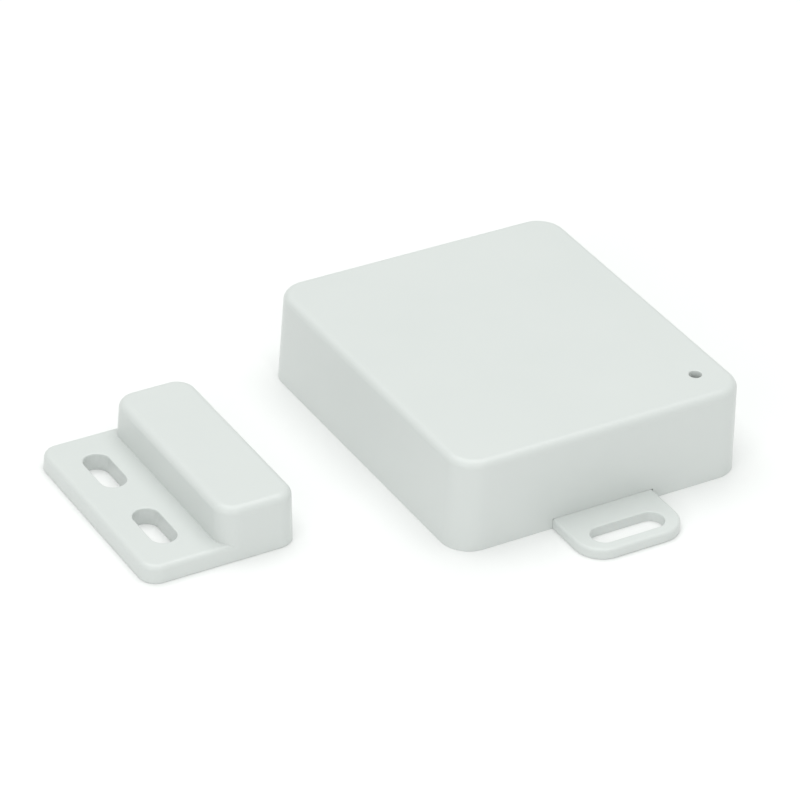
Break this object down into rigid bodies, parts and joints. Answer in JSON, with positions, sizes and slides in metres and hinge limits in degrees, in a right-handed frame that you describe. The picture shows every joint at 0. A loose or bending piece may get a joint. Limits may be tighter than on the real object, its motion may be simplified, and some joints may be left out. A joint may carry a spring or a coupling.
{
  "type": "door contact sensor",
  "caption": "Wireless door contact: a rounded box-shaped sensor unit with a slotted screw ear, and a stepped magnet unit with a slotted flange beside it.",
  "frame": {"origin": "middle of the sensor unit's underside, where the base plate meets the frame it is screwed to", "axes": "+Z away from the mounting surface, +X from the magnet unit towards the sensor unit, -Y towards the sensor unit's screw ear"},
  "size_m": [0.0989, 0.0711, 0.0159],
  "materials": {
    "white_abs": "satin",
    "black_plastic": "matte",
    "board_green": "satin",
    "steel": "satin",
    "copper": "bright",
    "clear_guide": "clear",
    "reed_glass": "clear",
    "ferrite": "matte",
    "cell_sleeve": "satin printed sleeve without lettering",
    "red_plastic": "satin",
    "capacitor_sleeve": "satin"
  },
  "bodies": {
    "sensor_base": {"base_plate": "white_abs", "microcontroller": "black_plastic", "tamper_switch_body": "black_plastic", "learn_button_body": "black_plastic", "jumper_header": "black_plastic", "battery_holder": "black_plastic", "circuit_board": "board_green", "radio_module_board": "board_green", "cover_screw_1": "steel", "cover_screw_2": "steel", "cover_screw_3": "steel", "cover_screw_4": "steel", "board_screw_1": "steel", "board_screw_2": "steel", "radio_shield_can": "steel", "timing_crystal": "steel", "reed_lead_front": "steel", "reed_lead_back": "steel", "battery_spring_1": "steel", "battery_spring_2": "steel", "battery_terminal_1": "steel", "battery_terminal_2": "steel", "battery_link_strip": "steel", "antenna_coil": "copper", "reed_switch_glass": "reed_glass", "battery_1": "cell_sleeve", "battery_2": "cell_sleeve", "status_led": "red_plastic", "jumper_cap": "red_plastic", "storage_capacitor": "capacitor_sleeve"},
    "cover": {"front_cover": "white_abs", "led_light_guide": "clear_guide"},
    "tamper_button": {"tamper_plunger": "red_plastic"},
    "learn_button": {"learn_button_cap": "white_abs"},
    "magnet_unit": {"magnet_housing": "white_abs", "bar_magnet": "ferrite", "magnet_back_cover": "white_abs"}
  },
  "joints": [
    {"name": "cover_lift", "type": "slide", "parent": "sensor_base", "child": "cover", "axis": [0, 0, 1], "range_m": [0, 0.03]},
    {"name": "tamper_press", "type": "slide", "parent": "sensor_base", "child": "tamper_button", "axis": [0, 0, 1], "range_m": [0, 0.0012]},
    {"name": "learn_press", "type": "slide", "parent": "sensor_base", "child": "learn_button", "axis": [0, 0, -1], "range_m": [0, 0.0003], "stiffness_N_per_m": 1500, "springref_m": -0.0003},
    {"name": "magnet_travel", "type": "slide", "parent": "sensor_base", "child": "magnet_unit", "axis": [-1, 0, 0], "range_m": [-0.014, 0.06]}
  ],
  "couplings": [
    {"joint": "tamper_press", "follows": "cover_lift", "ratio": 0.04}
  ]
}
